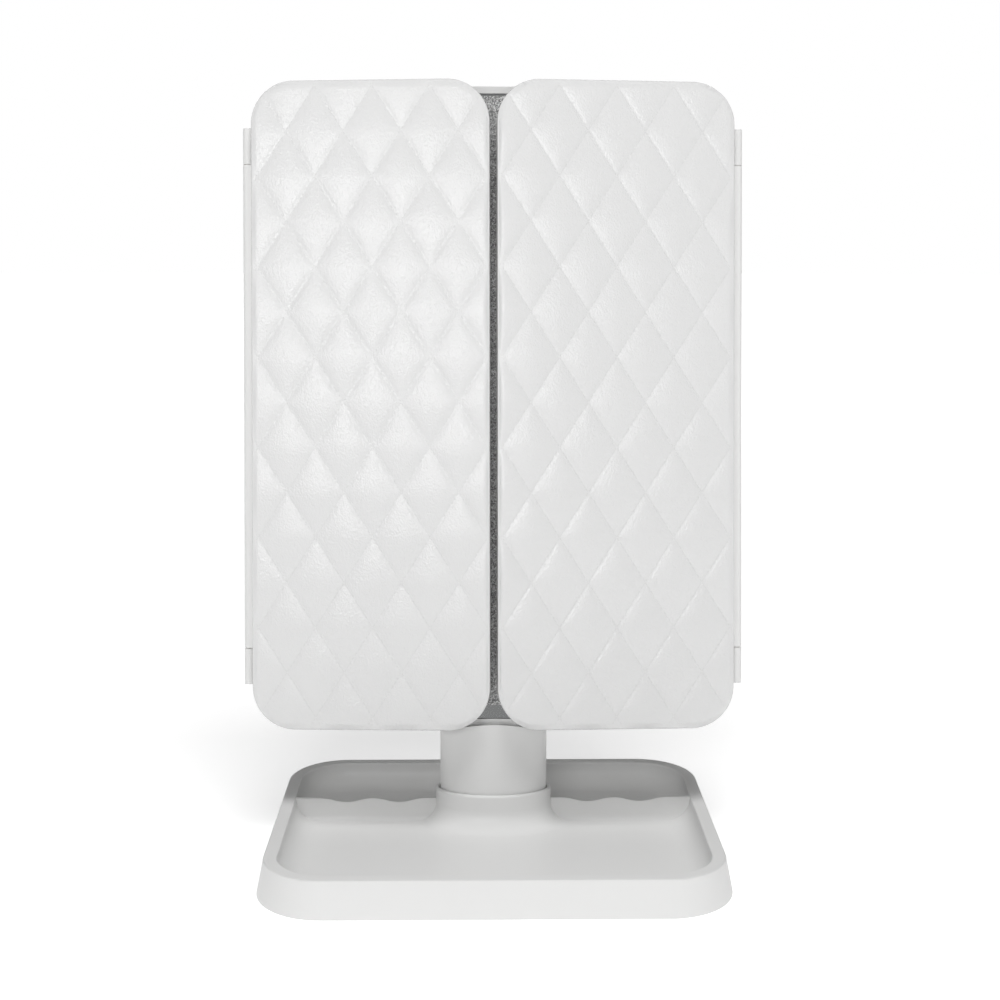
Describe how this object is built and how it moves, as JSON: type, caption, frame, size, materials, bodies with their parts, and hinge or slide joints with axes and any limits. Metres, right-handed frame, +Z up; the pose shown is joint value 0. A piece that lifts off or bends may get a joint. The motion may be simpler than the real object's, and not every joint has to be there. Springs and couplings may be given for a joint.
{
  "type": "trifold vanity mirror",
  "caption": "Folding table mirror: leaning centre panel on a post, two hinged wings with quilted padded covers, and a shallow tray base with low scalloped dividers.",
  "frame": {"origin": "on the ground, at the middle of the underside of the base", "axes": "+Z up, -Y towards the user in front of the mirror, +X to the right as seen from the front; the head leans back towards +Y"},
  "size_m": [0.2546, 0.1691, 0.3852],
  "materials": {
    "white_plastic": "satin",
    "black_rubber": "matte",
    "steel": "satin",
    "mirror_glass": "polished",
    "glitter_film": "gloss with fine glitter",
    "foam_tape": "matte",
    "frosted_plastic": "frosted",
    "circuit_board": "gloss solder mask",
    "black_plastic": "matte",
    "nylon": "satin",
    "cell_can": "gloss",
    "nickel": "polished",
    "button_plastic": "gloss",
    "fibre_board": "matte",
    "foam": "open cell",
    "white_leather": "fine grain, quilted"
  },
  "bodies": {
    "base": {"base_tray": "white_plastic", "base_plate": "white_plastic", "anti_slip_pad": "black_rubber", "ballast_plate": "steel", "base_screws": "steel", "post_shell": "white_plastic", "tilt_bracket": "steel", "post_screws": "steel"},
    "head": {"centre_frame": "white_plastic", "centre_mirror": "mirror_glass", "protective_film": "glitter_film", "centre_mirror_tape": "foam_tape", "light_diffuser_left": "frosted_plastic", "light_diffuser_right": "frosted_plastic", "led_strip_left": "circuit_board", "led_strip_right": "circuit_board", "centre_back_cover": "white_plastic", "cover_screws": "steel", "tilt_block": "black_plastic", "tilt_axle": "steel", "tilt_nut": "steel", "tilt_washers": "nylon", "battery_cells": "cell_can", "battery_contacts": "nickel", "control_board": "circuit_board", "charging_port": "nickel", "hinge_pin_left": "steel", "hinge_pin_right": "steel", "hinge_washers_left": "nylon", "hinge_washers_right": "nylon"},
    "left_wing": {"wing_shell_left": "white_plastic", "magnifying_pane_lower": "mirror_glass", "magnifying_pane_upper": "mirror_glass", "wing_mirror_tape_left": "foam_tape", "cover_board_left": "fibre_board", "foam_pad_left": "foam", "quilted_cover_left": "white_leather"},
    "right_wing": {"wing_shell_right": "white_plastic", "wing_mirror_right": "mirror_glass", "wing_mirror_tape_right": "foam_tape", "cover_board_right": "fibre_board", "foam_pad_right": "foam", "quilted_cover_right": "white_leather"},
    "power_button": {"power_button": "button_plastic", "switch_plunger": "black_plastic"},
    "battery_door": {"battery_door": "white_plastic"}
  },
  "joints": [
    {"name": "head_tilt", "type": "hinge", "parent": "base", "child": "head", "pos_m": [0, 0.024, 0.068], "axis": [-1, 0, 0], "range_deg": [-9.15, 20.85]},
    {"name": "left_wing_hinge", "type": "hinge", "parent": "head", "child": "left_wing", "pos_m": [-0.1248, 0.0395, 0.22149], "axis": [0, -0.159, -0.9873], "range_deg": [-3.5, 171.5]},
    {"name": "right_wing_hinge", "type": "hinge", "parent": "head", "child": "right_wing", "pos_m": [0.1248, 0.0395, 0.22149], "axis": [0, 0.159, 0.9873], "range_deg": [-3.5, 171.5]},
    {"name": "power_button_press", "type": "slide", "parent": "head", "child": "power_button", "axis": [0, -0.9873, 0.159], "range_m": [0, 0.0008], "stiffness_N_per_m": 800, "springref_m": -0.0006},
    {"name": "battery_door_hinge", "type": "hinge", "parent": "head", "child": "battery_door", "pos_m": [0, 0.04188, 0.11424], "axis": [-1, 0, 0], "range_deg": [0, 95]}
  ]
}
